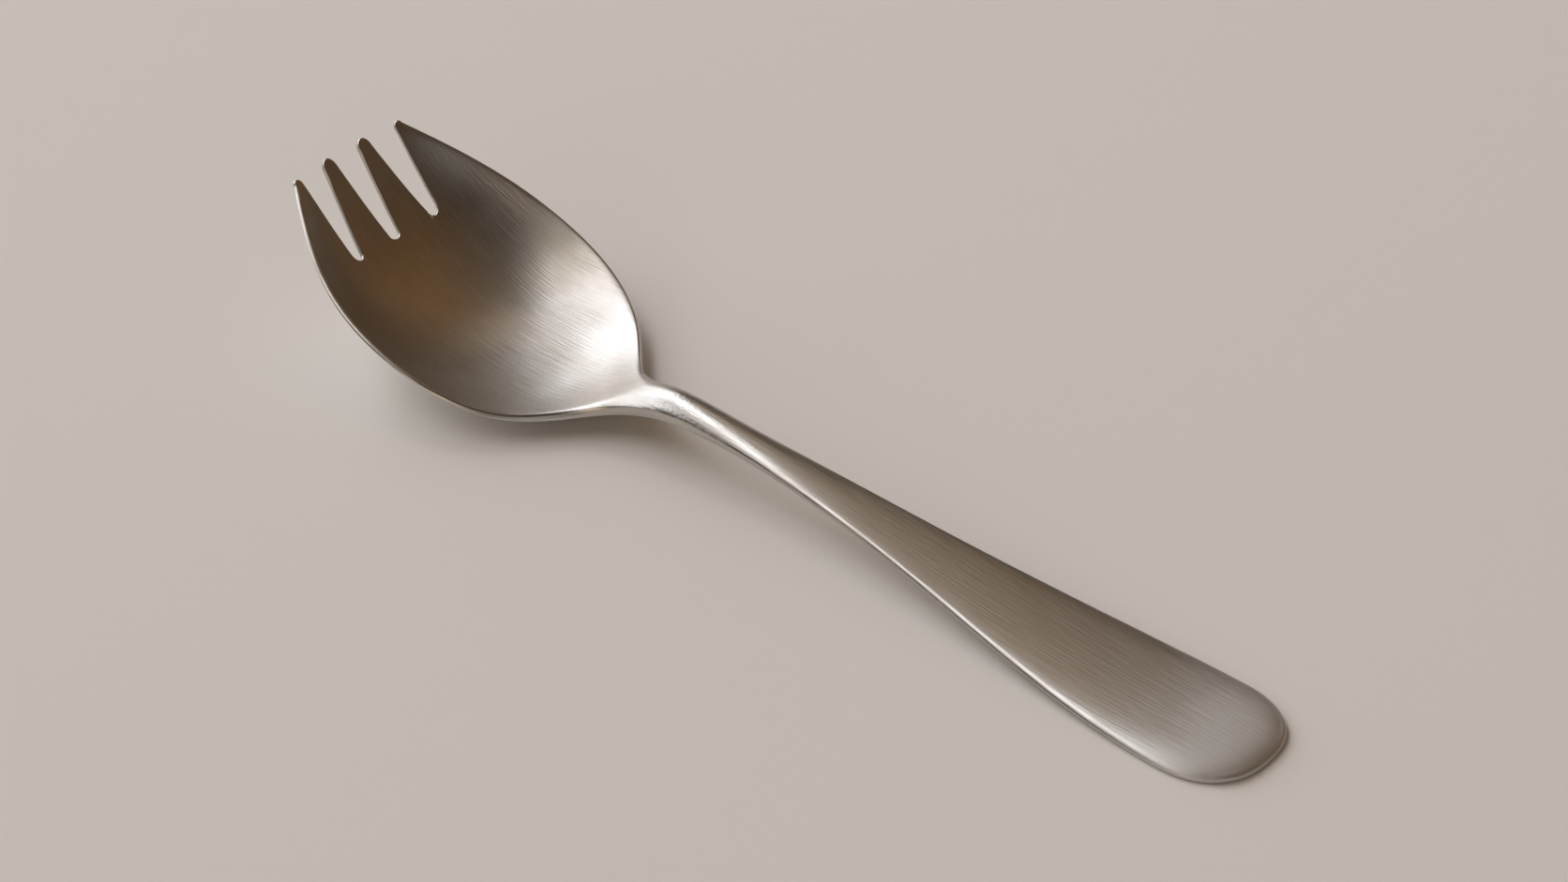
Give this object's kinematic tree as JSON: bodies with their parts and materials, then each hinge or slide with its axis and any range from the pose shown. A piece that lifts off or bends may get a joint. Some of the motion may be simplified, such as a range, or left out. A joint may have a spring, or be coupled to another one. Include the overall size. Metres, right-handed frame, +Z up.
{
  "type": "spork",
  "caption": "Table spork of satin stainless steel in one piece: an oval bowl that ends in tapered tines, an arched neck and a paddle-shaped handle.",
  "frame": {"origin": "on the table under the middle of the spork's length and width, at the bottom centre of its bounding box", "axes": "+Y along the spork from the handle towards the tines, +Z up out of the bowl, +X to the right seen from the handle"},
  "size_m": [0.0442, 0.1806, 0.0249],
  "materials": {
    "steel": "satin, finely brushed lengthwise, with light scratches"
  },
  "bodies": {
    "root": {"spork": "steel"}
  },
  "joints": []
}
